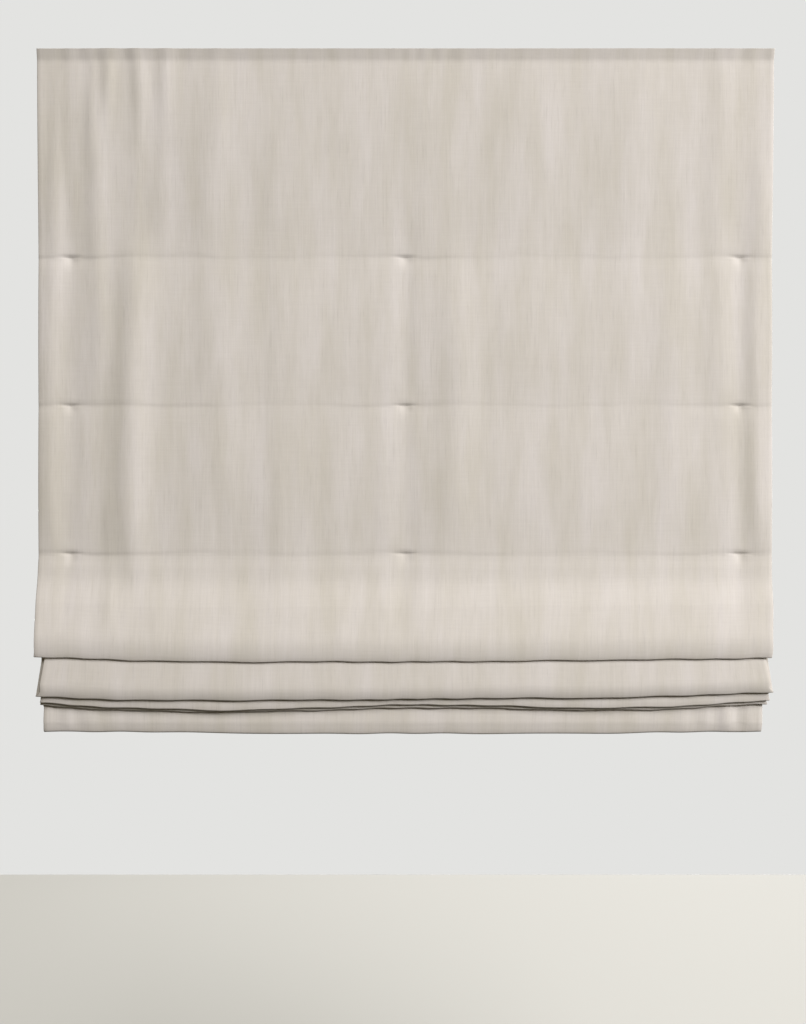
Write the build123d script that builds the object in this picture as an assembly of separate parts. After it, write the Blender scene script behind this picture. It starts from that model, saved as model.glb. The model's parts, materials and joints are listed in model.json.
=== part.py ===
"""Flat Roman blind for fitting inside a window recess, with a cordless spring lift.

The frame is in millimetres. X runs along the headrail, the room side faces -Y and Z is up. The origin is
the middle of the four screw holes, on the face that meets the head of the window.
"""

import math
import os

from build123d import *

# ---- Driving dimensions ---------------------------------------------------------------------------------

blind_width = 914.0
cord_inset = 40.0  # from each edge of the cloth to the outer cords
top_gap = 258.0  # from the top of the cloth to the first row of rings
row_spacing = 184.5  # between two rows of rings that hang open
open_rows = 3  # rows that hang open, above the stack
stacked_rows = 4  # rows that are drawn up together
stack_level = 722.0  # the first stacked row, below the head
stack_pitch = 6.5  # between rows that are drawn up together
drop = 851.0  # the bottom of the hem, below the head

face_thickness = 0.6
lining_thickness = 0.4
cloth_gap = 0.2
lining_inset = 10.0
top_margin = 1.0  # from the head to the edge of the cloth
head_bend = 200.0  # where the cloth leaves the headrail's front
first_row_bend = 120.0
middle_row_bend = 400.0
last_row_bend = 60.0
middle_row_bulge = 0.5
last_row_drop = 4.0  # from the last open rings to where the first fold swings out

tip_radius = 1.3  # where the cloth turns over a stacked ring
tip_slant = 55.0  # degrees from upright, of the cloth beside a stacked ring
leg_gap = 2.2  # between the two layers that hang from one stacked ring
knee_radius = 8.0  # where the slanted cloth turns down
last_knee_radius = 1.5
turn_share = 0.88  # of the room for the rounding at the bottom of a fold or over a ring

# Each hanging fold, from the room side to the window side: how far its cloth lies from the ring side at
# the knee and at the bottom, the bottom below the head, and the radius there. The first has no knee.
folds = [
    (None, 24.6, 756.8, 3.2),
    (14.2, 18.6, 804.0, 2.4),
    (10.2, 12.2, 813.0, 2.1),
    (6.2, 6.4, 819.0, 1.8),
]
last_knee = 1.6

head_depth = 36.0
head_height = 32.0
head_wall = 1.4
head_lip = 6.0
head_inset = 5.0  # from the edge of the cloth to the end of the headrail
head_clearance = 4.0  # above the headrail, where the brackets lie
cap_thickness = 2.0
cap_edge = 0.8
cap_plug = 12.0
cap_floor = 1.0
plug_gap = 0.1
plug_wall = 1.6

tape_height = 25.0
tape_drop = 2.0
hook_thickness = 1.1
loop_thickness = 1.0

bracket_inset = 132.0  # from the edge of the cloth to the screw holes
bracket_width = 40.0
bracket_end = 12.0  # from the screw holes to the nearer end of the plate
bracket_edge = 2.5  # from the plate to the headrail's sides
bracket_corner = 3.0
plate_thickness = 1.5
hook_gap = 0.6
hook_width = 14.0
hook_reach = 4.3
screw_spacing = 18.0
screw_hole = 4.4
pivot_offset = 20.0  # from the screw holes to the cam's pivot
pivot_back = 5.0
rivet_diameter = 5.0
rivet_head = 8.5
rivet_head_height = 1.2
cam_clearance = 0.3
cam_thickness = 1.6
cam_width = 11.0
handle_reach = 11.0  # behind the headrail
handle_thickness = 1.6
running_gap = 0.05
overrun = 1.0  # of a cutting solid past the faces that it cuts

shaft_size = 5.0
shaft_drop = 20.0
shaft_end_gap = 3.0
shaft_edge = 0.6
drum_diameter = 14.0
drum_length = 36.0
first_turn = 4.0  # from the outer end of a drum to its cord
flange_diameter = 21.0
flange_thickness = 1.5
hub_diameter = 8.0
hub_length = 4.0
side_gap = 0.5

cord_diameter = 1.2
turn_pitch = 1.3
cord_gap = 0.1
nozzle_diameter = 8.0
nozzle_bore = 4.4
nozzle_lip = 1.6

cradle_wall = 2.2
cradle_base = 2.0
cradle_width = 27.0
cradle_rise = 4.0  # over the hubs
cradle_snap = 6.6

spring_place = -340.0  # the fixed end of the spring
spring_length = 260.0
spring_bore = 11.0
spring_wire = 1.4
anchor_length = 8.0
anchor_corner = 1.0
driver_length = 8.0
driver_diameter = 19.0
driver_edge = 0.8
neck_length = 10.0
neck_gap = 0.1

ring_bore = 8.0
ring_wire = 1.5
ring_gap = 0.3

stop_margin = 1.0  # by which a stop laps the bore of the last ring, all round
stop_height = 9.0
stop_bore = 1.6
stop_edge = 1.8

bar_height = 25.0
bar_thickness = 4.0
bar_inset = 16.0
bar_gap = 0.9
bar_edge = 1.2
bar_seat = 0.45  # from the fold of the hem to the bar
hem_over_bar = 18.0
hem_clearance = 2.0
hem_slope = 6.0
hem_bend = 3.0

# ---- Worked out from them -------------------------------------------------------------------------------

half_width = blind_width / 2
column_x = [-(half_width - cord_inset), 0.0, half_width - cord_inset]
column_name = ["left", "middle", "right"]

head_half = half_width - head_inset - cap_thickness
head_top = -head_clearance
head_bottom = head_top - head_height
head_front = -head_depth / 2
head_back = head_depth / 2
lip_under = head_top - head_wall
floor_top = head_bottom + head_wall

shaft_z = -shaft_drop
drum_radius = drum_diameter / 2
cord_radius = cord_diameter / 2
cord_y = -(drum_radius + cord_gap + cord_radius)

ring_major = (ring_bore + ring_wire) / 2
ring_front = cord_y - ring_major - ring_wire / 2
tack_y = ring_front - ring_gap - lining_thickness - cloth_gap / 2
hang_y = head_front - hook_thickness - loop_thickness - lining_thickness - cloth_gap / 2

row_z = [-(top_gap + row_spacing * i) for i in range(open_rows)]
row_z += [-(stack_level + stack_pitch * i) for i in range(stacked_rows)]
raised = top_gap + row_spacing * (len(row_z) - 1) + row_z[-1]  # cord that is wound on each spool

stop_top = row_z[-1] - ring_wire / 2 - ring_gap

bar_middle = bar_thickness / 2 + bar_gap
hem_bottom = -drop + face_thickness + cloth_gap / 2
bar_bottom = hem_bottom + bar_seat
bar_top = bar_bottom + bar_height


# ---- Cloth ----------------------------------------------------------------------------------------------


def ribbon(path, radii, near, far):
    """The section of a sheet that follows a path of rounded corners in the YZ plane, from near to far
    on its back side. Each corner's rounding keeps its centre on both faces of the sheet."""

    def side(offset):
        lines = []
        for (y0, z0), (y1, z1) in zip(path, path[1:]):
            length = math.hypot(y1 - y0, z1 - z0)
            normal = ((z0 - z1) / length, (y1 - y0) / length)
            lines.append(((y0 + normal[0] * offset, z0 + normal[1] * offset), (y1 - y0, z1 - z0)))
        moved = [lines[0][0]]
        for (p, u), (q, v) in zip(lines, lines[1:]):
            cross = u[0] * v[1] - u[1] * v[0]
            along = ((q[0] - p[0]) * v[1] - (q[1] - p[1]) * v[0]) / cross
            moved.append((p[0] + u[0] * along, p[1] + u[1] * along))
        (y, z), (dy, dz) = lines[-1]
        moved.append((y + dy, z + dz))
        return moved

    def bend(i):
        u = (path[i][0] - path[i - 1][0], path[i][1] - path[i - 1][1])
        v = (path[i + 1][0] - path[i][0], path[i + 1][1] - path[i][1])
        return 1 if u[0] * v[1] - u[1] * v[0] > 0 else -1

    def rounded(offset):
        corners = side(offset)
        sized = [radius - bend(i + 1) * offset for i, radius in enumerate(radii)]
        return FilletPolyline(*[(0, y, z) for y, z in corners], radius=sized)

    back, front = rounded(far), rounded(near)
    ends = [Line(back @ 0, front @ 0), Line(back @ 1, front @ 1)]
    return make_face(Curve() + [back, front, *ends])


def tip(z):
    """The two corners where the cloth turns over the sewn point of a stacked ring, front one first."""
    slant = math.radians(tip_slant)
    across, up = math.cos(slant), math.sin(slant)
    back = (tack_y + tip_radius * (across + up - 1), z + tip_radius * (across - up))
    front = (back[0] - 2 * tip_radius * across, back[1] + 2 * tip_radius * up)
    return front, back


def knee(corner, y):
    """Where the slanted cloth from a ring's tip turns down."""
    return y, corner[1] - (corner[0] - y) / math.tan(math.radians(tip_slant))


def panel_corners():
    """The flat panel, from the top of the cloth to the last open row of rings."""
    return [
        ((hang_y, -top_margin), None),
        ((hang_y, head_bottom), head_bend),
        ((tack_y, row_z[0]), first_row_bend),
        ((tack_y - middle_row_bulge, row_z[1]), middle_row_bend),
        ((tack_y, row_z[2] - last_row_drop), last_row_bend),
    ]


def fold_corners(i):
    """One hanging fold: down its front, round its bottom, up its back and over the next ring."""
    reach, front_reach, depth, radius = folds[i]
    next_reach = folds[i + 1][0] if i + 1 < len(folds) else last_knee
    corners = []
    if reach is not None:
        above = tip(row_z[open_rows + i - 1])[1]
        corners.append((knee(above, tack_y - reach), knee_radius))
    front_y = tack_y - front_reach
    corners.append(((front_y, -depth), radius * turn_share))
    corners.append(((front_y + 2 * radius, -depth), radius * turn_share))
    front, back = tip(row_z[open_rows + i])
    bend = knee_radius
    if i + 1 == len(folds):  # the cloth goes straight down behind the last rings' tips
        back = (tack_y, back[1])
        bend = last_knee_radius
    corners.append((knee(front, tack_y - next_reach - leg_gap), bend))
    return corners + [(front, tip_radius * turn_share), (back, tip_radius * turn_share)]


def cloth_corners():
    """Corners and radii of the cloth, on the middle of its two layers, from its top to the hem."""
    corners = panel_corners()
    for i in range(len(folds)):
        corners += fold_corners(i)
    return corners


def hem_corners():
    """The hem goes down in front of the weight bar, under it, and up behind it to the stitching."""
    back_y = tack_y + 2 * bar_middle
    closed_y = tack_y + cloth_gap / 2 + face_thickness
    return [
        ((tack_y, hem_bottom), bar_middle * turn_share),
        ((back_y, hem_bottom), bar_middle * turn_share),
        ((back_y, bar_top + hem_clearance), hem_bend),
        ((closed_y, bar_top + hem_clearance + hem_slope), hem_bend),
        ((closed_y, bar_top + hem_over_bar), None),
    ]


def sheet(corners, near, far, width):
    path = [point for point, _ in corners]
    radii = [radius for _, radius in corners[1:-1]]
    return extrude(ribbon(path, radii, near, far), amount=width / 2, dir=(1, 0, 0), both=True)


def face_fabric():
    near = -cloth_gap / 2 - face_thickness
    return sheet(cloth_corners() + hem_corners(), near, -cloth_gap / 2, blind_width)


def lining():
    end = ((tack_y, bar_top + hem_over_bar / 2), None)
    near = cloth_gap / 2
    width = blind_width - 2 * lining_inset
    return sheet(cloth_corners() + [end], near, near + lining_thickness, width)


# ---- Headrail -------------------------------------------------------------------------------------------


def block(x, y, z):
    """A box from its two limits along each axis."""
    size = (abs(x[1] - x[0]), abs(y[1] - y[0]), abs(z[1] - z[0]))
    return Pos(sum(x) / 2, sum(y) / 2, sum(z) / 2) * Box(*size)


def rod(diameter, x0, x1):
    """A round bar on the lift shaft's axis."""
    return Pos((x0 + x1) / 2, 0, shaft_z) * Rot(0, 90, 0) * Cylinder(diameter / 2, abs(x1 - x0))


def square_bar(size, x0, x1):
    """A square bar on the lift shaft's axis."""
    half = size / 2
    return block((x0, x1), (-half, half), (shaft_z - half, shaft_z + half))


def pillar(diameter, z0, z1, x, y):
    """A round bar along Z."""
    return Pos(x, y, (z0 + z1) / 2) * Cylinder(diameter / 2, z1 - z0)


def rail_section(x, inset):
    """A block that fills the headrail's outline between two places along it, in from it all round."""
    y = (head_front + inset, head_back - inset)
    return block(x, y, (head_bottom + inset, head_top - inset))


def headrail_channel():
    whole = (-head_half, head_half)
    mouth_y = (head_front + head_lip, head_back - head_lip)
    rail = rail_section(whole, 0.0) - rail_section(whole, head_wall)
    rail -= block(whole, mouth_y, (lip_under - overrun, head_top + overrun))
    for x in column_x:
        rail -= pillar(nozzle_diameter, head_bottom - overrun, floor_top + overrun, x, cord_y)
    return rail


def end_cap(side):
    """A cover for the end of the headrail, with a hollow plug inside it."""
    inner = side * head_half
    reach = side * (head_half - cap_plug)
    plate = rail_section((inner, side * (head_half + cap_thickness)), 0.0)
    plate = fillet(plate.faces().sort_by(Axis((0, 0, 0), (side, 0, 0)))[-1].edges(), cap_edge)
    plug = rail_section((reach, inner), head_wall + plug_gap)
    core = rail_section((reach - side * overrun, inner - side * cap_floor), head_wall + plug_gap + plug_wall)
    return plate + (plug - core)


def tape(front, back):
    high = head_top - tape_drop
    return block((-head_half, head_half), (front, back), (high - tape_height, high))


def hook_tape():
    return tape(head_front - hook_thickness, head_front)


def loop_tape():
    return tape(head_front - hook_thickness - loop_thickness, head_front - hook_thickness)


# ---- Brackets -------------------------------------------------------------------------------------------

screw_x = half_width - bracket_inset
pivot_x = screw_x - pivot_offset
foot_top = lip_under - cam_clearance
handle_top = -plate_thickness - cam_clearance
cam_bottom = foot_top - cam_thickness


def bracket(side):
    """A steel plate with two screw holes, and a hook that holds the headrail's front lip from below."""
    outer = screw_x + bracket_end
    plate_x = (side * (outer - bracket_width), side * outer)
    plate_y = (head_front + bracket_edge, head_back - bracket_edge)
    plate = block(plate_x, plate_y, (-plate_thickness, 0.0))
    plate = fillet(plate.edges().filter_by(Axis.Z), bracket_corner)
    for y in (-screw_spacing / 2, screw_spacing / 2):
        plate -= pillar(screw_hole, -plate_thickness - overrun, overrun, side * screw_x, y)
    plate -= pillar(rivet_diameter, -plate_thickness - overrun, overrun, side * pivot_x, pivot_back)
    hook_x = (side * (pivot_x - hook_width / 2), side * (pivot_x + hook_width / 2))
    web_y = head_front + head_lip + hook_gap
    foot_bottom = foot_top - plate_thickness
    web = block(hook_x, (web_y, web_y + plate_thickness), (foot_bottom, -plate_thickness))
    foot = block(hook_x, (web_y - hook_reach, web_y + plate_thickness), (foot_bottom, foot_top))
    return plate + web + foot


def cam_lever(side):
    """A lever above the rear lip turns a cam below it, which clears the channel's wall as it turns."""
    half = cam_width / 2
    x = (side * pivot_x - half, side * pivot_x + half)
    swing = head_back - head_wall - 2 * cam_clearance - pivot_back
    cam_reach = pivot_back + math.sqrt(swing**2 - half**2)
    hub = pillar(cam_width, cam_bottom, handle_top, side * pivot_x, pivot_back)
    handle = block(x, (pivot_back, head_back + handle_reach), (handle_top - handle_thickness, handle_top))
    handle = fillet(handle.edges().filter_by(Axis.Z).group_by(Axis.Y)[-1], half - running_gap)
    cam = block(x, (pivot_back, cam_reach), (cam_bottom, foot_top))
    bore = rivet_diameter + 2 * running_gap
    return hub + handle + cam - pillar(bore, cam_bottom - overrun, 0.0, side * pivot_x, pivot_back)


def rivet(side):
    head_z = cam_bottom - running_gap
    shank = pillar(rivet_diameter, head_z, 0.0, side * pivot_x, pivot_back)
    return shank + pillar(rivet_head, head_z - rivet_head_height, head_z, side * pivot_x, pivot_back)


# ---- Lift -----------------------------------------------------------------------------------------------

shaft_reach = head_half - cap_plug - shaft_end_gap
bore_size = shaft_size + 2 * running_gap


def inward(x):
    """The direction in which the cord's turns run on a spool, away from the nearer end cap."""
    return -1 if x > 0 else 1


def drum_ends(x):
    outer = x - inward(x) * first_turn
    return sorted((outer, outer + inward(x) * drum_length))


def lift_shaft():
    bar = square_bar(shaft_size, -shaft_reach, shaft_reach)
    return chamfer(bar.edges().filter_by(Axis.X), shaft_edge)


def lift_spool(x):
    """A drum between two flanges, with a hub at each end that turns in the cradle."""
    low, high = drum_ends(x)
    end = flange_thickness + hub_length
    spool = rod(drum_diameter, low, high)
    spool += rod(flange_diameter, low - flange_thickness, low)
    spool += rod(flange_diameter, high, high + flange_thickness)
    spool += rod(hub_diameter, low - end, high + end)
    return spool - square_bar(bore_size, low - end - overrun, high + end + overrun)


def cord_turns(x):
    """The cord that is wound on a spool, as the sleeve that its turns fill."""
    turns = raised / (2 * math.pi * -cord_y)
    start = x + inward(x) * (cord_radius + cord_gap)
    end = start + inward(x) * turns * turn_pitch
    inner = drum_diameter + 2 * cord_gap
    sleeve = rod(inner + 2 * cord_diameter, start, end)
    return sleeve - rod(inner, start - inward(x) * overrun, end + inward(x) * overrun)


def cord_cradle(x):
    """A clip-in cradle: a base with a cord nozzle, and two walls that hold the spool's hubs."""
    low, high = drum_ends(x)
    inside = flange_thickness + side_gap
    half = cradle_width / 2
    wall_top = shaft_z + hub_diameter / 2 + cradle_rise
    base_top = floor_top + cradle_base
    walls = [(low - inside - cradle_wall, low - inside), (high + inside, high + inside + cradle_wall)]
    cradle = block((walls[0][0], walls[1][1]), (-half, half), (floor_top, base_top))
    for near, far in walls:
        cut = (near - overrun, far + overrun)
        cradle += block((near, far), (-half, half), (floor_top, wall_top))
        cradle -= rod(hub_diameter + 4 * running_gap, *cut)
        cradle -= block(cut, (-cradle_snap / 2, cradle_snap / 2), (shaft_z, wall_top + overrun))
    cradle += pillar(nozzle_diameter, head_bottom - nozzle_lip, base_top, x, cord_y)
    bore_bottom = head_bottom - nozzle_lip - overrun
    return cradle - pillar(nozzle_bore, bore_bottom, base_top + overrun, x, cord_y)


def lift_cord(x):
    """From the spool, through the rings, to the stop under the last ring."""
    return pillar(cord_diameter, stop_top - stop_height, shaft_z, x, cord_y)


# ---- Lift spring ----------------------------------------------------------------------------------------

spring_end = spring_place + spring_length
neck_diameter = spring_bore - 2 * neck_gap
round_bore = shaft_size * math.sqrt(2) + 2 * running_gap


def torsion_spring():
    """A closely wound spring round the shaft, as the sleeve that its turns fill."""
    inner = rod(spring_bore, spring_place - overrun, spring_end + overrun)
    return rod(spring_bore + 2 * spring_wire, spring_place, spring_end) - inner


def spring_anchor():
    """A block that is fixed in the headrail, with a neck that holds the still end of the spring."""
    half = head_depth / 2 - head_wall
    plate = (spring_place - anchor_length, spring_place)
    anchor = block(plate, (-half, half), (floor_top, lip_under))
    anchor = fillet(anchor.edges().filter_by(Axis.X), anchor_corner)
    neck_end = spring_place + neck_length
    anchor += rod(neck_diameter, spring_place, neck_end)
    return anchor - rod(round_bore, plate[0] - overrun, neck_end + overrun)


def spring_driver():
    """A collar on the shaft, with a neck that holds the turning end of the spring."""
    neck_end = spring_end - neck_length
    far_end = spring_end + driver_length
    driver = chamfer(rod(driver_diameter, spring_end, far_end).edges(), driver_edge)
    driver += rod(neck_diameter, neck_end, spring_end)
    return driver - square_bar(bore_size, neck_end - overrun, far_end + overrun)


# ---- Rings, stops and weight bar ------------------------------------------------------------------------


def ring(x, z):
    return Pos(x, cord_y, z) * Torus(ring_major, ring_wire / 2)


def cord_stop(x):
    stop_bottom = stop_top - stop_height
    stop_diameter = ring_bore + 2 * stop_margin
    stop = fillet(pillar(stop_diameter, stop_bottom, stop_top, x, cord_y).edges(), stop_edge)
    return stop - pillar(stop_bore, stop_bottom - overrun, stop_top + overrun, x, cord_y)


def weight_bar():
    bar = block(
        (-half_width + bar_inset, half_width - bar_inset),
        (tack_y + bar_gap, tack_y + bar_gap + bar_thickness),
        (bar_bottom, bar_top),
    )
    return fillet(bar.edges().filter_by(Axis.X), bar_edge)


# ---- Pieces ---------------------------------------------------------------------------------------------


def pieces():
    """Each piece by its node's name."""
    made = {
        "face_fabric": face_fabric(),
        "lining": lining(),
        "headrail_channel": headrail_channel(),
        "hook_tape": hook_tape(),
        "loop_tape": loop_tape(),
        "lift_shaft": lift_shaft(),
        "torsion_spring": torsion_spring(),
        "spring_anchor": spring_anchor(),
        "spring_driver": spring_driver(),
        "weight_bar": weight_bar(),
    }
    for name, side in (("left", -1), ("right", 1)):
        made[f"end_cap_{name}"] = end_cap(side)
        made[f"bracket_{name}"] = bracket(side)
        made[f"cam_lever_{name}"] = cam_lever(side)
        made[f"cam_rivet_{name}"] = rivet(side)
    for name, x in zip(column_name, column_x):
        made[f"lift_spool_{name}"] = lift_spool(x)
        made[f"cord_turns_{name}"] = cord_turns(x)
        made[f"cord_cradle_{name}"] = cord_cradle(x)
        made[f"lift_cord_{name}"] = lift_cord(x)
        made[f"cord_stop_{name}"] = cord_stop(x)
        for row, z in enumerate(row_z, 1):
            made[f"ring_{row}_{name}"] = ring(x, z)
    return made


os.makedirs("parts", exist_ok=True)
for name, shape in pieces().items():
    export_step(shape, f"parts/{name}.step")
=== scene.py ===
import json
import math
import random

import bmesh
import bpy
import numpy as np
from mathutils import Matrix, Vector

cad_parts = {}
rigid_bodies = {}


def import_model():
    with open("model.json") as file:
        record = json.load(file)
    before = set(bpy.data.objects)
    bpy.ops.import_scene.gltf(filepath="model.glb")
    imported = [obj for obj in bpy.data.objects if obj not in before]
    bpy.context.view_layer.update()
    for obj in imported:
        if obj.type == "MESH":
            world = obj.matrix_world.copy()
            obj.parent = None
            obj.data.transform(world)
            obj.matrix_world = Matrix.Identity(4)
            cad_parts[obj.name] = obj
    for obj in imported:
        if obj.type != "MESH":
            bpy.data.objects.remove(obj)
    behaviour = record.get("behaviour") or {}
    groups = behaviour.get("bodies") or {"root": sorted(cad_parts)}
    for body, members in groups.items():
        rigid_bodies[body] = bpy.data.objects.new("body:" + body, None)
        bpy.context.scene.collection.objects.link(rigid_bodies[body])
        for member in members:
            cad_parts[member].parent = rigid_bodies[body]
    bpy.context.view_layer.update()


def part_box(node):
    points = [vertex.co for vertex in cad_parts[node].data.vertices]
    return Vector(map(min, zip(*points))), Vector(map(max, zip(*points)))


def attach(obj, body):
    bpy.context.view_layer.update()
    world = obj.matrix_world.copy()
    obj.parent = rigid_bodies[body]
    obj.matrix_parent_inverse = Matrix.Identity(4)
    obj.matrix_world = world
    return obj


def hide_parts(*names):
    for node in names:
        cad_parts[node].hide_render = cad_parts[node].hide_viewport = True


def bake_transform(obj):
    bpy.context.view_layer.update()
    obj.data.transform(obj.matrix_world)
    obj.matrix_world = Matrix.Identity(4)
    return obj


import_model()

MM = 0.001

# ---- Sizes, from the frame where it has them ---------------------------------------------------------------


def middle(node):
    """The middle of a node's box, in millimetres."""
    low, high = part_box(node)
    return [(a + b) / 2 / MM for a, b in zip(low, high)]


cloth_low, cloth_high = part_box("face_fabric")
half_width = cloth_high[0] / MM
cloth_bottom = cloth_low[2] / MM
bar_back, bar_top = [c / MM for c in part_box("weight_bar")[1][1:]]
shaft_z = middle("lift_shaft")[2]
head_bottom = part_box("headrail_channel")[0][2] / MM
lining_room = 0.5  # behind the course of the cloth, for the lining and half of the gap between the cloths
hang_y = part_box("loop_tape")[0][1] / MM - lining_room

columns = ["left", "middle", "right"]
column_x = [middle(f"ring_1_{name}")[0] for name in columns]
row_count = 7
open_rows = 3
row_z = [middle(f"ring_{row}_middle")[2] for row in range(1, row_count + 1)]
cord_y = middle("ring_1_middle")[1]
ring_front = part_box("ring_1_middle")[0][1] / MM
ring_gap = 0.3
tack_y = ring_front - ring_gap - lining_room

face_thickness = 0.5
lining_thickness = 0.25
face_offset = -0.35  # from the course of the cloth to the middle of the face fabric
lining_offset = 0.35  # and to the middle of the lining
hem_offset = 0.73  # and to the side hem, which lies on the lining
side_hem = 33.0
lining_inset = 10.0

# The cloth's course beside a stacked ring: the radius of its turn over the ring, how far it slants from
# upright, and the gap between the two layers that hang from the ring.
tip_radius = 1.3
tip_slant = math.radians(55.0)
leg_gap = 2.2

# Each hanging fold: reach of the cloth from the ring side at the knee, at its belly and at the bottom, how
# far the belly is above the bottom, and the width of the fold there.
folds = [
    (None, 22.4, 19.2, 16.0, 2.6),
    (14.2, 18.3, 15.2, 10.5, 2.6),
    (10.2, 11.0, 10.2, 8.0, 2.4),
    (6.2, 6.2, 6.0, 5.0, 2.6),
]
last_knee = 1.6  # reach of the cloth under the last stacked ring


# ---- Helpers for meshes ------------------------------------------------------------------------------------


def link(name, mesh):
    """Adds a mesh as an object in millimetres, turned to metres."""
    mesh.transform(((MM, 0, 0, 0), (0, MM, 0, 0), (0, 0, MM, 0), (0, 0, 0, 1)))
    mesh.update()
    piece = bpy.data.objects.new(name, mesh)
    bpy.context.scene.collection.objects.link(piece)
    return piece


def smooth(piece):
    """Shades a piece smooth."""
    piece.data.polygons.foreach_set("use_smooth", [True] * len(piece.data.polygons))


def sheet_mesh(name, front, back, uv):
    """A closed sheet between two grids of points, with the cloth's own coordinates as UV."""
    rows, cols, _ = front.shape
    index = np.arange(rows * cols).reshape(rows, cols)
    a, b, c, d = index[:-1, :-1], index[:-1, 1:], index[1:, 1:], index[1:, :-1]
    quads = np.stack([a, d, c, b], axis=-1).reshape(-1, 4)
    other = quads[:, ::-1] + rows * cols
    rim = np.concatenate([index[0, :], index[1:, -1], index[-1, -2::-1], index[-2:0:-1, 0]])
    after = np.roll(rim, -1)
    edge = np.stack([rim, after, after + rows * cols, rim + rows * cols], axis=-1)
    faces = np.concatenate([quads, other, edge])
    points = np.concatenate([front.reshape(-1, 3), back.reshape(-1, 3)])
    mesh = bpy.data.meshes.new(name)
    mesh.from_pydata(points.tolist(), [], faces.tolist())
    layer = mesh.uv_layers.new(name="cloth")
    flat = np.concatenate([uv.reshape(-1, 2), uv.reshape(-1, 2)])
    loops = np.empty(len(mesh.loops), dtype=np.int32)
    mesh.loops.foreach_get("vertex_index", loops)
    layer.data.foreach_set("uv", flat[loops].astype(np.float32).ravel())
    return mesh


def tube(builder, path, radius, sides=8):
    """Adds a round tube along a list of points to a bmesh, closed at both ends."""
    points = [Vector(p) for p in path]
    rings = []
    across = None
    for i, point in enumerate(points):
        ahead = points[min(i + 1, len(points) - 1)] - points[max(i - 1, 0)]
        ahead.normalize()
        if across is None:
            across = ahead.orthogonal().normalized()
        across = (across - ahead * across.dot(ahead)).normalized()
        other = ahead.cross(across)
        ring = []
        for k in range(sides):
            angle = 2 * math.pi * k / sides
            offset = across * math.cos(angle) + other * math.sin(angle)
            ring.append(builder.verts.new(point + offset * radius))
        rings.append(ring)
    for near, far in zip(rings, rings[1:]):
        for k in range(sides):
            builder.faces.new((near[k], near[(k + 1) % sides], far[(k + 1) % sides], far[k]))
    builder.faces.new(rings[0][::-1])
    builder.faces.new(rings[-1])


def tube_piece(name, paths, radius, sides=8):
    """One piece made of a round tube along each path."""
    builder = bmesh.new()
    for path in paths:
        tube(builder, path, radius, sides)
    mesh = bpy.data.meshes.new(name)
    builder.to_mesh(mesh)
    builder.free()
    piece = link(name, mesh)
    smooth(piece)
    return piece


# ---- Materials ---------------------------------------------------------------------------------------------


def linear(code):
    """An sRGB hex colour as linear RGBA."""
    parts = [int(code[i : i + 2], 16) / 255 for i in (1, 3, 5)]
    return (*[c / 12.92 if c <= 0.04045 else ((c + 0.055) / 1.055) ** 2.4 for c in parts], 1.0)


def add(tree, kind, inputs=None, **settings):
    """Adds a node with its settings, and sets or links its inputs by name or number."""
    made = tree.nodes.new(kind)
    for key, value in settings.items():
        setattr(made, key, value)
    for key, value in (inputs or {}).items():
        if isinstance(value, bpy.types.NodeSocket):
            tree.links.new(value, made.inputs[key])
        else:
            made.inputs[key].default_value = value
    return made


def material(name, **values):
    """A material with its surface shader, whose own sockets take the values."""
    made = bpy.data.materials.new(name)
    made.use_nodes = True
    shader = made.node_tree.nodes["Principled BSDF"]
    for key, value in values.items():
        shader.inputs[key.replace("_", " ")].default_value = value
    return made, made.node_tree, shader


def dress(name, *materials):
    """Gives a node of the frame or a piece its materials."""
    piece = bpy.data.objects[name]
    piece.data.materials.clear()
    for each in materials:
        piece.data.materials.append(each)


# ---- Camera, light and floor -------------------------------------------------------------------------------

lens = bpy.data.cameras.new("camera")
lens.lens = 45.2
lens.shift_x = 0.0566
lens.shift_y = -0.0645
camera = bpy.data.objects.new("camera", lens)
camera.location = (-0.075, -1.62, -0.493)
camera.rotation_euler = (math.pi / 2, 0, 0)
bpy.context.scene.collection.objects.link(camera)
bpy.context.scene.camera = camera


def soft_light(name, place, target, size, power):
    """A square soft light at a place, turned to a target."""
    data = bpy.data.lights.new(name, "AREA")
    data.size = size
    data.energy = power
    lamp = bpy.data.objects.new(name, data)
    lamp.location = place
    lamp.rotation_euler = (Vector(target) - Vector(place)).to_track_quat("-Z", "Y").to_euler()
    bpy.context.scene.collection.objects.link(lamp)


cloth_middle = (0.0, 0.0, -0.42)
# The key grazes the cloth from the right, which shows its ridges. The top light puts the folds' undersides
# in shade.
soft_light("key", (6.0, -3.6, 1.8), cloth_middle, 1.3, 560.0)
soft_light("top", (2.0, -8.0, 8.9), cloth_middle, 4.2, 830.0)
soft_light("fill", (-2.0, -5.0, 0.4), cloth_middle, 2.4, 4.0)
soft_light("back", (1.6, 5.0, 2.6), cloth_middle, 3.0, 330.0)

# The room gives less light than the pale backdrop shows, and least of it from below.
low_glow = 0.02
high_glow = 0.24
studio = bpy.data.worlds.new("studio")
studio.use_nodes = True
sky = studio.node_tree
toward = add(sky, "ShaderNodeTexCoord").outputs["Generated"]
height = add(sky, "ShaderNodeSeparateXYZ", {0: toward}).outputs["Z"]
glow = add(sky, "ShaderNodeMapRange", {0: height, 1: -0.5, 2: 0.6, 3: low_glow, 4: high_glow}).outputs[0]
room = add(sky, "ShaderNodeBackground", {"Color": linear("#e6d8a9"), "Strength": glow})
backdrop = add(sky, "ShaderNodeBackground", {"Color": linear("#e3e3e1"), "Strength": 1.0})
seen = add(sky, "ShaderNodeLightPath").outputs["Is Camera Ray"]
mixed = add(sky, "ShaderNodeMixShader", {0: seen, 1: room.outputs[0], 2: backdrop.outputs[0]})
sky.links.new(mixed.outputs[0], sky.nodes["World Output"].inputs["Surface"])
bpy.context.scene.world = studio
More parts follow.
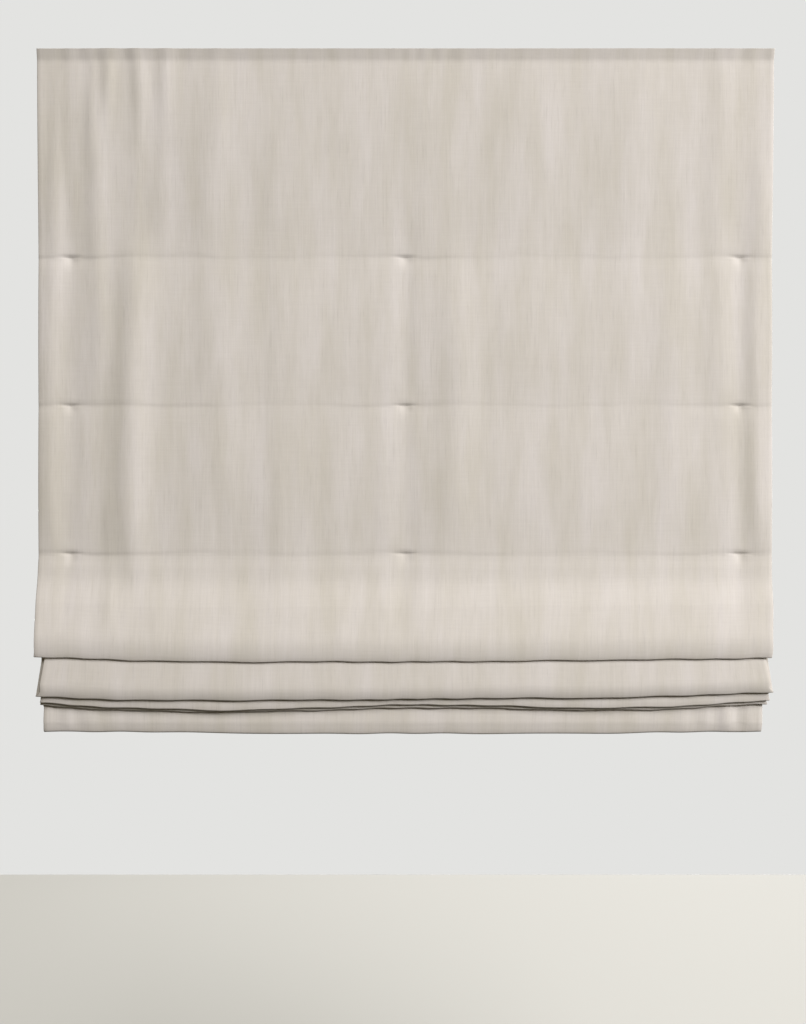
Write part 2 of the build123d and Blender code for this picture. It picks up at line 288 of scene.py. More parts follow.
bpy.context.scene.view_settings.view_transform = "Standard"

# Matt paint on a level floor: an even pale grey without a gloss. It throws no light up at the cloth.
painted = material("floor, matt pale paint", Base_Color=linear("#bbbab7"), Roughness=0.9)[0]
floor_level = -1.9
floor_reach = 2.6
floor_mesh = bpy.data.meshes.new("floor")
floor_corners = [(floor_reach * a, floor_reach * b, 0) for a, b in ((-1, -1), (1, -1), (1, 1), (-1, 1))]
floor_mesh.from_pydata(floor_corners, [], [(0, 1, 2, 3)])
floor_mesh.materials.append(painted)
floor = bpy.data.objects.new("floor", floor_mesh)
floor.location = (0, 0, floor_level)
bpy.context.scene.collection.objects.link(floor)
floor.visible_diffuse = False

# ---- Cloth -------------------------------------------------------------------------------------------------


def spread(start, end, coarse, fine, near):
    """Places from start to end, fine apart at the middles listed with their reach, coarse elsewhere."""
    places = [start]
    while places[-1] < end:
        x = places[-1]
        share = max(math.exp(-(((x - at) / reach) ** 2)) for at, reach in near)
        places.append(x + coarse + (fine - coarse) * share)
    places = np.array(places)
    return start + (places - start) * (end - start) / (places[-1] - start)


def window(s, start, end, soft):
    """1 between start and end, falling to 0 over a soft length at each end."""
    rise = np.clip((s - start) / soft + 0.5, 0, 1)
    fall = np.clip((end - s) / soft + 0.5, 0, 1)
    rise, fall = rise * rise * (3 - 2 * rise), fall * fall * (3 - 2 * fall)
    return rise * fall


def keyed(x, *keys):
    """A smooth curve across the cloth through a few heights, each given with its place."""
    places, heights = np.array(keys, float).T
    fine = np.linspace(-half_width - 40, half_width + 40, 400)
    line = np.interp(fine, places, heights)
    kernel = np.hanning(41)
    padded = np.pad(line, 20, mode="edge")
    return np.interp(x, fine, np.convolve(padded, kernel / kernel.sum(), mode="valid"))


# Soft ridges that the hanging cloth keeps: place across, half width, height, and where it starts and
# ends down the cloth.
ridges = [
    (-440, 11, 0.8, 130, 640),
    (-340, 21, 2.3, 250, 640),
    (-385, 13, 0.9, 60, 420),
    (-367, 8, 1.1, -20, 80),
    (-333, 8, 1.2, -20, 90),
    (-299, 8, 1.0, -20, 70),
    (-236, 30, 0.9, 60, 560),
    (-150, 34, 0.7, 120, 700),
    (60, 24, 1.6, 270, 600),
    (42, 26, 0.35, 60, 240),
    (150, 40, 0.45, 20, 420),
    (285, 38, 0.8, 0, 330),
    (392, 14, 0.7, 0, 480),
    (330, 20, 0.8, 240, 560),
    (440, 12, 1.0, 120, 640),
]
ridge_share = 1.7  # of each height above, at the left end
calm_share = 0.7  # of that, in the rest of the width
left_end = -150
streak_count = 170  # short soft streaks between the ridges
tack_pull = 2.7  # depth of the dimple at a tack
tack_slack = 1.0  # and of the wider dish round it
column_pull = 1.0  # depth of the furrow down each column of tacks
pillow = 1.2  # how far each row of tacks draws the cloth in
row_crease = 0.6  # depth of the crease along a row


def folds_of_cloth(x, s):
    """How far the cloth stands out to the room from its sewn points, at x and s down the cloth."""
    out = np.zeros(np.broadcast(x, s).shape)
    for at, half, height, start, end in ridges:
        centre = at + 3.5 * np.sin(s / 95 + at) + 1.5 * np.sin(s / 31 + 2 * at)
        share = ridge_share if at < left_end else calm_share * ridge_share
        out += share * height * np.exp(-(((x - centre) / half) ** 2)) * window(s, start, end, 110)
    dice = random.Random(11)
    for _ in range(streak_count):
        at = half_width * (1 - 2 * dice.random() ** 0.8)
        half = dice.uniform(3.5, 9.0)
        height = dice.uniform(-0.42, 0.46) * (1.4 if at < left_end else 0.5)
        start = dice.uniform(-80, 1300)
        length = dice.uniform(60, 240)
        centre = at + 2 * np.sin(s / 60 + 9 * at)
        shape = np.exp(-(((x - centre) / half) ** 2))
        out += height * shape * window(s, start, start + length, 50)
    open_levels = [-z for z in row_z[:open_rows]]
    tacks = np.zeros_like(out)
    along = window(s, open_levels[0] - 40, open_levels[-1] + 80, 130)
    for at in column_x:
        furrow = np.exp(-(((x - at) / 13) ** 2))
        out -= column_pull * furrow * along
        for level in open_levels:
            # The cloth drops sharply into a dimple from above and leaves it slowly below.
            dip = np.where(s < level, 1.9, 8.5)
            half = 9.5 - 3.5 * (s > level)
            near = np.exp(-(((x - at) / half) ** 2) - ((s - level) / dip) ** 2)
            wide = np.exp(-(((x - at) / 26) ** 2) - ((s - level) / 14) ** 2)
            out += along * column_pull * furrow * np.exp(-(((s - level) / 14) ** 2))
            tacks = np.maximum(tacks, (tack_pull * near + tack_slack * wide) / (tack_pull + tack_slack))
    for level in open_levels:
        waver = 1.2 * np.sin(x / 37 + level) + 0.6 * np.sin(x / 13)
        # Deepest beside the tacks, and deeper at the left.
        deep = 0.35 + 0.65 * np.exp(-(((np.abs(np.abs(x) - 208) - 209) / 60) ** 2)) + 0.35 * (x < -235)
        below = s - level - waver
        groove = np.where(below < 0, 2.4, 9.0)
        out -= row_crease * deep * np.exp(-((below / groove) ** 2))
        out -= pillow * np.exp(-(((s - level) / 45) ** 2))
    puckers = 0.22 * np.sin(x / 3.6 + 2 * np.sin(x / 29)) * window(s, -20, 16, 12)
    out += puckers + pillow + tack_pull + tack_slack
    return out * (1 - tacks)


def rounded(corners, radii, steps):
    """Rows of points along a path of rounded corners. corners is (corner, column, xyz); each arc has its
    corner's x, and each straight run has its own spacing of rows."""
    rows = [corners[0]]
    for i, radius in enumerate(radii, start=1):
        u = corners[i][:, 1:] - corners[i - 1][:, 1:]
        v = corners[i + 1][:, 1:] - corners[i][:, 1:]
        u /= np.linalg.norm(u, axis=1, keepdims=True)
        v /= np.linalg.norm(v, axis=1, keepdims=True)
        turn = np.arctan2(u[:, 0] * v[:, 1] - u[:, 1] * v[:, 0], (u * v).sum(axis=1))
        side = np.sign(turn)
        start = corners[i].copy()
        start[:, 1:] -= u * (radius * np.tan(np.abs(turn) / 2))[:, None]
        last = rows[-1]
        count = max(1, round(float(np.linalg.norm((start - last)[:, 1:], axis=1).mean() / steps[i - 1])))
        rows += [last + (start - last) * k / count for k in range(1, count + 1)]
        normal = np.stack([-u[:, 1], u[:, 0]], axis=1) * side[:, None]
        centre = start[:, 1:] + normal * np.reshape(radius, (-1, 1))
        arm = start[:, 1:] - centre
        count = max(2, math.ceil(float(np.abs(turn).mean()) / math.radians(34)))
        for k in range(1, count + 1):
            c, d = np.cos(turn * k / count), np.sin(turn * k / count)
            row = start.copy()
            row[:, 1] = centre[:, 0] + arm[:, 0] * c - arm[:, 1] * d
            row[:, 2] = centre[:, 1] + arm[:, 0] * d + arm[:, 1] * c
            rows.append(row)
    last, end = rows[-1], corners[-1]
    count = max(1, round(float(np.linalg.norm((end - last)[:, 1:], axis=1).mean() / steps[-1])))
    return rows + [last + (end - last) * k / count for k in range(1, count + 1)]


def across(x, shift=0.0, scale=1.0, pull=0.0):
    """Where the columns at x lie: moved, narrowed, and drawn in at the two edges."""
    edge = np.clip((np.abs(x) - 372) / (half_width - 372), 0, 1)
    return x * scale + shift - np.sign(x) * pull * edge**1.6


bar_gap = 0.9  # from each face of the weight bar to the hem's cloth
hem_depth = bar_back + bar_gap - tack_y
hem_level = cloth_bottom + 0.7
hem_top = bar_top + 18.0
heading = 15.0  # height of the doubled heading that the hook and loop tape press forward
head_bulge = 3.8
turn_share = 0.88  # of the room for it, the radius of the cloth's turn in a fold or over a ring


def course(x):
    """Rows of points down the course of the cloth, at the columns x."""
    one = np.ones_like(x)

    def at(y, z, shift=0.0, scale=1.0, pull=0.0):
        return np.stack([across(x, shift, scale, pull), y * one, z * one], axis=1)

    close = [(-z, 13) for z in row_z[:open_rows]] + [(8, 16)]
    levels = spread(1.0, -row_z[open_rows - 1] + 4, 11.2, 1.6, close)
    levels = np.insert(levels, 1, levels[0] + 0.2)
    lean = np.clip((levels + head_bottom + 20) / (-row_z[0] + head_bottom + 30), 0, 1)
    lean = lean * lean * (3 - 2 * lean)
    panel_y = hang_y + (tack_y - hang_y) * lean
    panel_y = panel_y - head_bulge * np.clip(1 - levels / heading, 0, 1)
    panel = [at(y, -level) for y, level in zip(panel_y, levels)]

    # The lower edge of each fold, from left to right.
    bottoms = [
        keyed(x, (-457, -753.2), (-430, -754), (-330, -757.5), (-217, -759.5), (-69, -758.6), (0, -759.2),
              (168, -757.8), (330, -756.0), (441, -754.7), (457, -754)),
        keyed(x, (-457, -802.2), (-400, -805.6), (-320, -807.2), (-220, -807.4), (0, -806.2), (90, -804.6),
              (250, -804.5), (340, -801.8), (405, -799.0), (457, -798)),
        keyed(x, (-457, -811), (-400, -816.0), (-300, -819.3), (-217, -821.4), (-100, -817.3), (0, -813.6),
              (90, -814.3), (190, -817.5), (240, -818.3), (330, -816.5), (400, -812.4), (457, -808.6)),
        keyed(x, (-457, -815), (-400, -819.6), (-300, -823), (-217, -824.0), (-100, -821.3), (0, -818.4),
              (90, -818.6), (190, -821.0), (240, -821.8), (330, -820.5), (400, -816.5), (457, -813.5)),
    ]
    edge_pulls = [0.0, 12.0, 4.0, 4.0]  # how far the ends of a fold are drawn in at its knee
    belly_radii = [55.0, 28.0, 20.0, 10.0]
    sideways = [(-3.6, 0.9974), (-1.4, 0.999), (-0.8, 0.991), (-2.0, 0.990)]  # shift and share of the width
    knee_radius = 8.0
    corners = [panel[-1]]
    radii = []
    steps = []
    for i, (knee_reach, belly_reach, reach, belly_rise, wide) in enumerate(folds):
        shift, scale = sideways[i]
        bottom = bottoms[i] + 0.35 * np.sin(x / 9.5 + 2 * i + 2.5 * np.sin(x / 71))
        bottom = bottom + 0.3 * np.sin(x / 23 + i)
        front = tack_y - reach
        if knee_reach is None:
            corners.append(at(tack_y - belly_reach * 0.6, bottom + 66, shift * 0.4))
            radii.append(one * 70.0)
            steps.append(8.0)
        else:
            above = row_z[open_rows + i - 1]
            corners.append(at(tack_y - knee_reach, above - knee_drop(knee_reach), -1.0, 0.995, edge_pulls[i]))
            radii.append(one * knee_radius)
            steps.append(5.0)
        belly_pull = edge_pulls[i] * 0.45
        corners.append(at(tack_y - belly_reach, bottom + belly_rise, shift * 0.8, scale, belly_pull))
        corners.append(at(front, bottom, shift, scale))
        corners.append(at(front + wide, bottom, shift, scale))
        radii += [one * belly_radii[i], one * wide / 2 * turn_share, one * wide / 2 * turn_share]
        steps += [6.0, 5.0, 4.0]
        z = row_z[open_rows + i]
        slant_y, slant_z = math.cos(tip_slant), math.sin(tip_slant)
        back = (tack_y + tip_radius * (slant_y + slant_z - 1), z + tip_radius * (slant_y - slant_z))
        ahead = (back[0] - 2 * tip_radius * slant_y, back[1] + 2 * tip_radius * slant_z)
        following = folds[i + 1][0] if i + 1 < len(folds) else last_knee
        bend = knee_radius
        if i + 1 == len(folds):
            back = (tack_y, back[1])
            bend = 1.5
        low = tack_y - following - leg_gap
        corners.append(at(low, ahead[1] - (ahead[0] - low) / math.tan(tip_slant), -1.0, 0.995, 8.0))
        corners.append(at(*ahead, -0.5, 0.996, 8.0))
        corners.append(at(*back, -0.5, 0.996, 8.0))
        radii += [one * bend, one * tip_radius * turn_share, one * tip_radius * turn_share]
        steps += [14.0, 4.0, 3.0]
    # The lower hem hangs in shallow waves between the cords, and puckers at its ends.
    hem = hem_level + 0.9 - keyed(x, (-457, 0), (-330, 0.4), (-200, 2.2), (-100, 3.0), (0, 2.3), (120, 2.8),
                                  (250, 2.6), (330, 1.0), (400, 0.3), (457, 0))
    hem = hem - 0.4 * (1 + np.sin(x / 17 + 2 * np.sin(x / 60)))
    ends = np.exp(-(((x - 405) / 38) ** 2)) + 0.6 * np.exp(-(((x + 430) / 22) ** 2)) + 0.15
    slack = 2.4 + ends * (0.8 * np.sin(x / 4.6) + 0.5 * np.sin(x / 9.1 + 1))
    corners.append(at(tack_y - slack, cloth_bottom + 13 + 1.5 * ends * np.sin(x / 7.3), -2.8, 0.981))
    corners.append(at(tack_y, hem, -3.1, 0.981))
    corners.append(at(tack_y + hem_depth, hem, -3.1, 0.981))
    corners.append(at(tack_y + hem_depth, bar_top + 2, -2.8, 0.982))
    corners.append(at(tack_y + 0.75, bar_top + 8, -2.8, 0.983))
    corners.append(at(tack_y + 0.75, hem_top, -2.8, 0.983))
    radii += [one * 22.0, one * 2.5, one * 2.5, one * 3.0, one * 3.0]
    steps += [7.0, 5.0, 5.0, 9.0, 6.0]
    return np.array(panel[:-1] + rounded(corners, radii, steps + [6.0]))


def knee_drop(reach):
    """How far below a stacked ring its slanted cloth turns down."""
    return (reach + tip_radius) / math.tan(tip_slant) + tip_radius


def hung(x):
    """The course with its folds and ridges, the length down the cloth, and the normal to its back. Below the
    open rows the ridges die out, because the stack presses them flat."""
    points = course(x)
    steps = np.linalg.norm(np.diff(points[..., 1:], axis=0), axis=2)
    s = np.concatenate([np.zeros((1, len(x))), np.cumsum(steps, axis=0)])
    s = np.repeat(s.mean(axis=1, keepdims=True), len(x), axis=1)
    stack = -row_z[open_rows - 1]
    ease = 1 - 0.96 * window(s, stack + 95, 5000, 60)
    out = folds_of_cloth(x[None, :], s) * ease
    rest = np.clip((s - stack) / 40, 0, 1)
    out -= (pillow + tack_pull + tack_slack) * ease * rest * rest * (3 - 2 * rest)
    points[..., 1] -= out
    along = np.gradient(points[..., 1:], axis=0)
    along /= np.linalg.norm(along, axis=2, keepdims=True)
    normal = np.stack([-along[..., 1], along[..., 0]], axis=2)
    return points, s, normal


def surface(points, normal, offset, angle, reach):
    """Moves the course to one face of the cloth: offset along the normal, round an edge by an angle."""
    moved = points.copy()
    away = offset - reach * np.cos(angle)
    moved[..., 1] += normal[..., 0] * away
    moved[..., 2] += normal[..., 1] * away
    moved[..., 0] += reach * np.sin(angle)
    return moved


hem_turn = (hem_offset - face_offset) / 2
hem_centre = (hem_offset + face_offset) / 2
edge = half_width - hem_turn - face_thickness / 2
# Where the columns lie close together, with the reach of each such place.
crease_places = [(-400, 80), (40, 60), (425, 45)]
front_x = spread(-edge, edge, 7.8, 3.1, crease_places)
turn_angles = np.radians([45.0, 90.0, 135.0, 180.0])
hem_steps = np.array([6.0, 16.0, 27.0, side_hem])

# The face fabric runs from one side hem, round the edge, across the front, round the other edge and back.
four = np.ones(4)
face_x = np.concatenate([hem_steps[::-1] - edge, -edge * four, front_x, edge * four, edge - hem_steps])
angle = np.concatenate([-np.pi * four, -turn_angles[::-1], 0 * front_x, turn_angles, np.pi * four])
points, s, normal = hung(face_x)
outer = surface(points, normal, hem_centre, angle, hem_turn + face_thickness / 2)
inner = surface(points, normal, hem_centre, angle, hem_turn - face_thickness / 2)
round_edge = 1.4
girth = np.concatenate([-edge - round_edge - hem_steps[::-1], -edge - hem_turn * turn_angles[::-1], front_x,
                        edge + hem_turn * turn_angles, edge + round_edge + hem_steps])
uv = np.stack([np.broadcast_to(girth, s.shape), -s], axis=2) * MM
face = link("face_cloth", sheet_mesh("face_cloth", outer, inner, uv))
smooth(face)
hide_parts("face_fabric")
face_length = float(s[-1, 0])

lining_edge = half_width - lining_inset
lining_x = spread(-lining_edge, lining_edge, 7.8, 3.9, crease_places)
points, s, normal = hung(lining_x)
# The lining ends on the way down to the hem, just above the weight bar.
lining_foot = bar_top + 9.0
down = (s[:, 0] > face_length - 130) & (s[:, 0] < face_length - 40)
last = int(np.argmin(np.where(down, np.abs(points[:, 0, 2] - lining_foot), 1000)))
points, s, normal = points[:last], s[:last], normal[:last]
level = np.zeros_like(lining_x)
outer = surface(points, normal, lining_offset, level, lining_thickness / 2)
inner = surface(points, normal, lining_offset, level, -lining_thickness / 2)
uv = np.stack([np.broadcast_to(lining_x, s.shape), -s], axis=2) * MM
lining = link("lining_cloth", sheet_mesh("lining_cloth", outer, inner, uv))
smooth(lining)
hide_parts("lining")

# ---- Linen and cotton --------------------------------------------------------------------------------------


slub_shade = 0.03


def woven(name, colours, thread, slub, depth, **values):
    """A woven cloth in its own coordinates. Threads and slubs run down it and shorter slubs across it, with
    their widths in millimetres. Soft clouds between the two colours lie over them."""
    made, tree, shader = material(name, **values)
    place = add(tree, "ShaderNodeUVMap", uv_map="cloth").outputs["UV"]
    per_mm = (1 / MM, 1 / MM, 1 / MM)
    mm = add(tree, "ShaderNodeVectorMath", {0: place, 1: per_mm}, operation="MULTIPLY").outputs[0]

    def threads(width, length, detail):
        """Noise drawn out to a width across the cloth and a length down it."""
        size = (1 / width, 1 / length, 1)
        scale = add(tree, "ShaderNodeVectorMath", {0: mm, 1: size}, operation="MULTIPLY")
        inputs = {"Vector": scale.outputs[0], "Scale": 1.0, "Detail": detail, "Roughness": 0.6}
        return add(tree, "ShaderNodeTexNoise", inputs).outputs["Fac"]

    down = threads(slub, slub * 26, 3.0)
    fine = threads(thread, thread * 30, 2.0)
    over = threads(slub * 16, slub, 2.0)
    clouds = threads(38.0, 210.0, 4.0)
    clouds = add(tree, "ShaderNodeMapRange", {0: clouds, 1: 0.33, 2: 0.67}).outputs[0]
    streaks = threads(5.0, 75.0, 3.0)
    knots = threads(2.6, 34.0, 5.0)
    knots = add(tree, "ShaderNodeMapRange", {0: knots, 1: 0.55, 2: 0.70, 3: 1.0, 4: 0.93}).outputs[0]
    shares = ((streaks, 0.55), (down, 0.65), (fine, 0.5), (over, 0.4))
    base = add(tree, "ShaderNodeMix", {0: clouds, 6: linear(colours[0]), 7: linear(colours[1])},
               data_type="RGBA", clamp_factor=True).outputs[2]
    total = add(tree, "ShaderNodeVectorMath", {0: base, 1: knots}, operation="MULTIPLY").outputs[0]
    for pattern, share in shares:
        strength = slub_shade * share
        ends = {1: 0.3, 2: 0.7, 3: 1 - strength, 4: 1 + strength}
        shade = add(tree, "ShaderNodeMapRange", {0: pattern, **ends}).outputs[0]
        total = add(tree, "ShaderNodeVectorMath", {0: total, 1: shade}, operation="MULTIPLY").outputs[0]
    tree.links.new(total, shader.inputs["Base Color"])
    height = add(tree, "ShaderNodeMath", {0: down, 1: fine}, operation="ADD").outputs[0]
    height = add(tree, "ShaderNodeMath", {0: height, 1: over}, operation="ADD").outputs[0]
    bump = add(tree, "ShaderNodeBump", {"Strength": 0.6, "Distance": depth * MM, "Height": height})
    tree.links.new(bump.outputs[0], shader.inputs["Normal"])
    return made


# Flax, woven plain and washed: uneven threads with dark slubs, clouded where the dye took less, and a dry
# face with hardly any sheen. Its threads are 0.5 mm apart, and are drawn about three times coarser so
# that they show.
linen = woven("washed linen, plain weave", ("#d7d0cc", "#ccc5bc"), 1.7, 2.7, 0.10, Roughness=0.92,
              Sheen_Weight=0.15)
# Cotton in a sateen weave, unbleached: smoother, paler and flatter than the linen. Its threads are 0.25 mm
# apart, and are drawn about three times coarser so that they show.
sateen = woven("cotton sateen lining", ("#e8e4da", "#e3ded2"), 0.8, 1.4, 0.04, Roughness=0.75)
dress("face_cloth", linen)
dress("lining_cloth", sateen)

# ---- Stitching ---------------------------------------------------------------------------------------------


def stitched_spots(points, normal, rows, column, offset):
    """Points just off the cloth's back at some rows of one column."""
    spots = points[rows, column].copy()
    spots[:, 1] += normal[rows, column, 0] * offset
    spots[:, 2] += normal[rows, column, 1] * offset
    return spots


def ladder(spots, pitch, length, slant):
    """Short stitches along a line of spots, each leaning across it and standing up in the middle."""
    steps = np.linalg.norm(np.diff(spots, axis=0), axis=1)
    along = np.concatenate([[0], np.cumsum(steps)])
    paths = []
    for start in np.arange(pitch / 2, along[-1] - length, pitch):
        places = (start, start + length)
        ends = np.array([[np.interp(t, along, spots[:, k]) for k in range(3)] for t in places])
        ends[1, 0] += slant
        crown = ends.mean(axis=0)
        crown[1] += 0.12
        paths.append([ends[0], crown, ends[1]])
    return paths


thread_radius = 0.16
stitch_x = np.array([-edge + side_hem - 0.6, edge - side_hem + 0.6])
points, s, normal = hung(stitch_x)
upper = np.where(s[:, 0] < face_length - 70)[0]
paths = []
for column, slant in ((0, 1.3), (1, -1.3)):
    spots = stitched_spots(points, normal, upper, column, hem_offset + face_thickness / 2 + 0.05)
    paths += ladder(spots, 9.0, 2.6, slant)
side_stitches = tube_piece("side_hem_stitches", paths, thread_radius, 5)

# The hem's top edge is caught down to the cloth under it by slanting stitches.
hem_stitch_x = np.linspace(-edge + 8, edge - 8, 120)
top_edge = hung(hem_stitch_x)[0][-1]
paths = []
for here, there in zip(top_edge, top_edge[1:]):
    start = np.array([here[0], here[1] + 0.05, here[2] - 0.6])
    end = np.array([here[0] * 0.65 + there[0] * 0.35, here[1] + 0.05, here[2] + 1.1])
    paths.append([start, (start + end) / 2 + np.array([0, 0.45, 0]), end])
hem_stitches = tube_piece("hem_stitches", paths, thread_radius, 5)

# ---- Cords, knots, threads and spring ----------------------------------------------------------------------


def helix(start, end, radius, pitch, centre_y, centre_z, sides=10):
    """A coil along X, from start to end."""
    turns = abs(end - start) / pitch
    count = int(turns * sides)
    way = 1 if end > start else -1
    return [
        (
            start + way * pitch * k / sides,
            centre_y + radius * math.cos(2 * math.pi * k / sides),
            centre_z + radius * math.sin(2 * math.pi * k / sides),
        )
        for k in range(count + 1)
    ]


spring_low, spring_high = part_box("torsion_spring")
spring_wire = 1.4
spring_pitch = 1.52
spring_end = 0.8  # from the end of the spring to the middle of its last turn
spring_radius = (spring_high[2] - spring_low[2]) / MM / 2 - spring_wire / 2
spring_start, spring_stop = spring_low[0] / MM + spring_end, spring_high[0] / MM - spring_end
spring_run = helix(spring_start, spring_stop, spring_radius, spring_pitch, 0.0, shaft_z, 14)
spring = tube_piece("wound_torsion_spring", [spring_run], spring_wire / 2 - 0.02, 6)
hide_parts("torsion_spring")
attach(spring, "headrail")

cord_radius = 0.6
cord_pitch = 1.3
cord_end = 0.65  # from the end of the wound cord to the middle of its last turn
knot_size = 0.496
for name, at_x in zip(columns, column_x):
    low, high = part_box(f"cord_turns_{name}")
    radius = (high[2] - low[2]) / MM / 2 - cord_radius
    outer_end, inner_end = (low[0], high[0]) if abs(low[0]) > abs(high[0]) else (high[0], low[0])
    inset = cord_end if inner_end > outer_end else -cord_end
    run = helix(outer_end / MM + inset, inner_end / MM - inset, radius, cord_pitch, 0.0, shaft_z, 16)
    turns = tube_piece(f"wound_cord_{name}", [run], cord_radius, 8)
    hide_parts(f"cord_turns_{name}")
    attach(turns, "shaft")

    low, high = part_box(f"lift_cord_{name}")
    top_z, foot_z = high[2] / MM, low[2] / MM
    run = [(at_x, cord_y, z) for z in np.linspace(top_z, foot_z, 200)]
    cord = tube_piece(f"braided_cord_{name}", [run], cord_radius, 10)
    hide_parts(f"lift_cord_{name}")
    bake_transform(cord)

    # An overhand knot under the stop, with a short tail.
    stop_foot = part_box(f"cord_stop_{name}")[0][2] / MM
    knot_path = []
    for k in range(49):
        t = 2 * math.pi * k / 48
        x = at_x + knot_size * (math.sin(t) + 2 * math.sin(2 * t))
        y = cord_y + knot_size * (math.cos(t) - 2 * math.cos(2 * t))
        knot_path.append((x, y, stop_foot - 1.5 - 0.75 * math.sin(3 * t)))
    tail = [
        (at_x + 0.4, cord_y, stop_foot - 1.2),
        (at_x + 0.5, cord_y + 0.2, stop_foot - 5),
        (at_x + 0.1, cord_y + 0.4, stop_foot - 9),
    ]
    knot = tube_piece(f"cord_knot_{name}", [knot_path, tail], cord_radius * 0.9, 8)
    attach(knot, f"ring_row_{row_count}")

# Two loops of thread at each ring, through the lining and round the ring's wire. In an open row a stitch
# shows on the front as well.
front_y = tack_y - face_thickness - 0.25
for row, z in enumerate(row_z, start=1):
    paths = []
    for at_x in column_x:
        for lean in (-0.55, 0.55):
            loop = []
            for k in range(17):
                t = 2 * math.pi * k / 16
                x = at_x + lean + 0.25 * math.sin(t)
                loop.append((x, ring_front + 0.72 + 1.15 * math.cos(t), z + 1.1 * math.sin(t)))
            paths.append(loop)
        if row <= open_rows:
            stitch = ((-1.6, 0.35, 0), (-0.8, 0, 0.1), (0.8, 0, -0.1), (1.6, 0.35, 0))
            paths.append([(at_x + a, front_y + b, z + c) for a, b, c in stitch])
    threads = tube_piece(f"tack_threads_{row}", paths, 0.2, 6)
    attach(threads, f"ring_row_{row}")

# ---- Finishes of the hard pieces ---------------------------------------------------------------------------


def grained(name, colours, grain, depth, rough, twist=None, **values):
    """A finish whose colour, gloss and relief vary over a grain, given in millimetres along X, Y and Z. A
    twist adds raised bands that lean across a thread or cord, 1.26 times the twist apart, with painted
    shade in the grooves between them."""
    made, tree, shader = material(name, **values)
    place = add(tree, "ShaderNodeTexCoord").outputs["Object"]
    size = tuple(1 / (g * MM) for g in grain)
    scaled = add(tree, "ShaderNodeVectorMath", {0: place, 1: size}, operation="MULTIPLY").outputs[0]
    noise = add(tree, "ShaderNodeTexNoise", {"Vector": scaled, "Scale": 1.0, "Detail": 3.0}).outputs["Fac"]
    mixed_in = add(tree, "ShaderNodeMapRange", {0: noise, 1: 0.3, 2: 0.7}).outputs[0]
    both = {0: mixed_in, 6: linear(colours[0]), 7: linear(colours[1])}
    colour = add(tree, "ShaderNodeMix", both, data_type="RGBA").outputs[2]
    gloss = add(tree, "ShaderNodeMapRange", {0: noise, 1: 0.3, 2: 0.7, 3: rough[0], 4: rough[1]}).outputs[0]
    height = noise
    if twist:
        wave = {"Vector": place, "Scale": 1 / (twist * MM) / 2, "Distortion": 0.0}
        bands = add(tree, "ShaderNodeTexWave", wave, bands_direction="DIAGONAL").outputs["Fac"]
        height = add(tree, "ShaderNodeMath", {0: noise, 1: bands}, operation="ADD").outputs[0]
        # Painted shade: the colour darkens to 0.82 of itself in the grooves between the raised bands.
        shade = add(tree, "ShaderNodeMapRange", {0: bands, 1: 0.0, 2: 1.0, 3: 0.82, 4: 1.0}).outputs[0]
        colour = add(tree, "ShaderNodeVectorMath", {0: colour, 1: shade}, operation="MULTIPLY").outputs[0]
    bump = add(tree, "ShaderNodeBump", {"Strength": 0.5, "Distance": depth * MM, "Height": height})
    tree.links.new(colour, shader.inputs["Base Color"])
    tree.links.new(gloss, shader.inputs["Roughness"])
    tree.links.new(bump.outputs[0], shader.inputs["Normal"])
    return made


# Aluminium, rolled and powder coated: an even off-white skin with a faint orange peel.
coated = grained("powder-coated aluminium", ("#edece7", "#e6e5df"), (1.6, 1.6, 1.6), 0.03, (0.38, 0.5))
# ABS from a polished mould: smoother than the coating, with a slight cloud in the gloss.
abs_cap = grained("ABS, moulded", ("#eae9e3", "#e4e2dc"), (6, 6, 6), 0.01, (0.28, 0.38), IOR=1.53)
# Pressed steel, zinc plated and passivated: a pale metal with uneven, slightly blue and straw patches.
zinc = grained("zinc-plated pressed steel", ("#b9bfc6", "#c6c3b6"), (5, 5, 5), 0.01, (0.28, 0.44),
               Metallic=1.0)
# Aluminium drawn through a die: fine lines along its length.
drawn = grained("extruded aluminium", ("#c9cacb", "#b7b8ba"), (60, 0.5, 0.5), 0.01, (0.24, 0.4),
                Metallic=1.0)
# Mill-finish bar: duller than the shaft, with longer and wider die lines.
mill = grained("mill-finish aluminium", ("#bfc0c0", "#aaabac"), (90, 1.2, 1.2), 0.02, (0.36, 0.55),
               Metallic=1.0)
# Nylon from a textured mould: milky, with a satin grain.
nylon = grained("nylon, moulded", ("#e3e0d6", "#d9d5ca"), (1.2, 1.2, 1.2), 0.02, (0.42, 0.56), IOR=1.53)
# Acetal from a polished mould: whiter and slicker than the nylon that turns in it.
acetal = grained("acetal, moulded", ("#efeee9", "#e7e5df"), (8, 8, 8), 0.01, (0.22, 0.32), IOR=1.48)
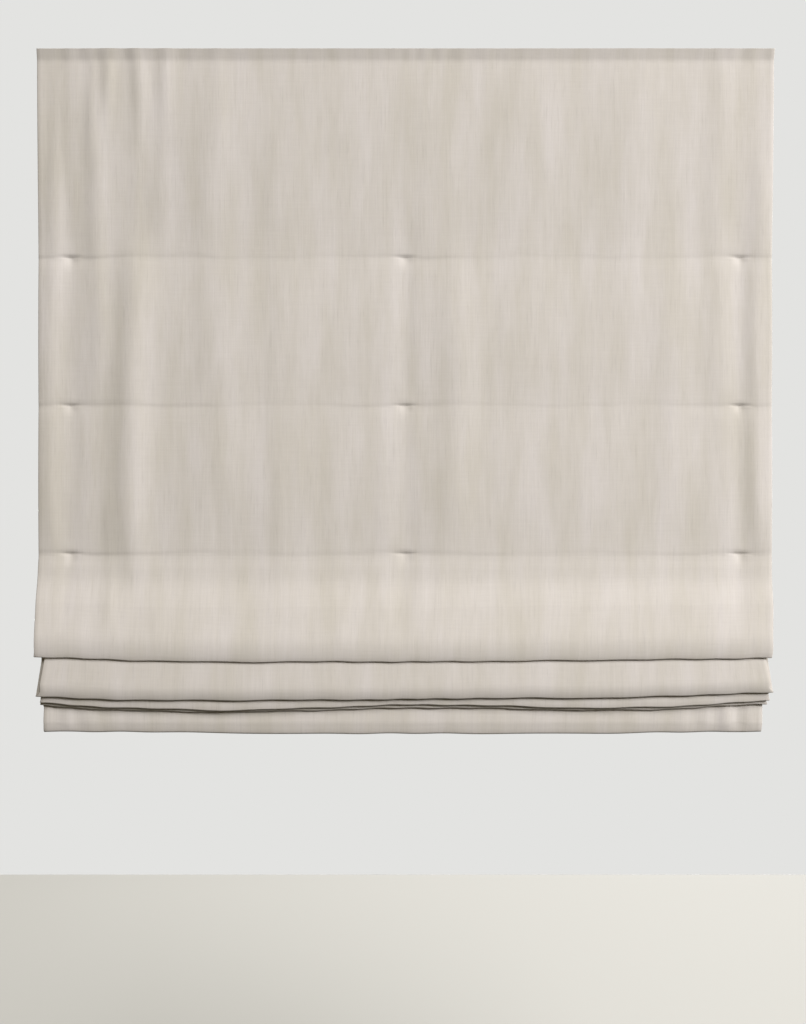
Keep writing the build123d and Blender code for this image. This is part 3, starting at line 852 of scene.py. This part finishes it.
# Patented spring wire: dark, oiled steel with drawing marks.
wire = grained("spring steel wire", ("#8d8c89", "#757370"), (0.8, 3, 3), 0.01, (0.25, 0.42),
               Metallic=1.0)
# Hook tape: woven nylon with stiff moulded hooks, drawn as bumps 1.2 mm apart so that they show.
hooks = grained("hook tape, woven nylon", ("#f0efe9", "#d5d3cb"), (1.2, 1.2, 1.2), 0.35, (0.5, 0.7))
# Loop tape: a brushed pile of fine nylon loops, soft and matt, drawn 0.9 mm apart so that they show.
loops = grained("loop tape, brushed nylon", ("#eeece6", "#d9d6cd"), (0.9, 0.9, 0.9), 0.3, (0.8, 0.95),
                Sheen_Weight=0.4)
# Braided polyester: slick white strands that lean across the cord, about 1.4 mm apart along it, with painted
# shade in the grooves between them.
braid = grained("polyester cord, braided", ("#f3f1ea", "#e6e3da"), (0.6, 0.6, 1.2), 0.06, (0.5, 0.65), 1.1)
# Polyester sewing thread, dyed near to the linen: two plies with a soft gloss that cross it each 0.9 mm, with
# painted shade in the grooves between them.
thread = grained("polyester thread, twisted", ("#c9c0b4", "#b5aa9c"), (0.4, 0.4, 0.8), 0.04, (0.5, 0.65), 0.7)
# Polycarbonate from a polished mould: clear, with a faint smoky tint in its thick parts.
clear = grained("polycarbonate, moulded clear", ("#f6f7f6", "#eef0ef"), (4, 4, 4), 0.005, (0.06, 0.14),
                IOR=1.58, Transmission_Weight=0.85)

finishes = {
    "headrail_channel": coated,
    "end_cap": abs_cap,
    "bracket": zinc,
    "cam_lever": zinc,
    "cam_rivet": zinc,
    "lift_shaft": drawn,
    "weight_bar": mill,
    "lift_spool": nylon,
    "spring_driver": nylon,
    "cord_cradle": acetal,
    "spring_anchor": acetal,
    "hook_tape": hooks,
    "loop_tape": loops,
    "ring_": clear,
    "cord_stop": clear,
    "wound_torsion_spring": wire,
    "wound_cord": braid,
    "braided_cord": braid,
    "cord_knot": braid,
    "tack_threads": thread,
    "side_hem_stitches": thread,
    "hem_stitches": thread,
}
for each in list(bpy.data.objects):
    for start, finish in finishes.items():
        if each.type == "MESH" and each.name.startswith(start):
            dress(each.name, finish)

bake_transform(face)
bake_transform(lining)
for piece in (side_stitches, hem_stitches):
    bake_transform(piece)
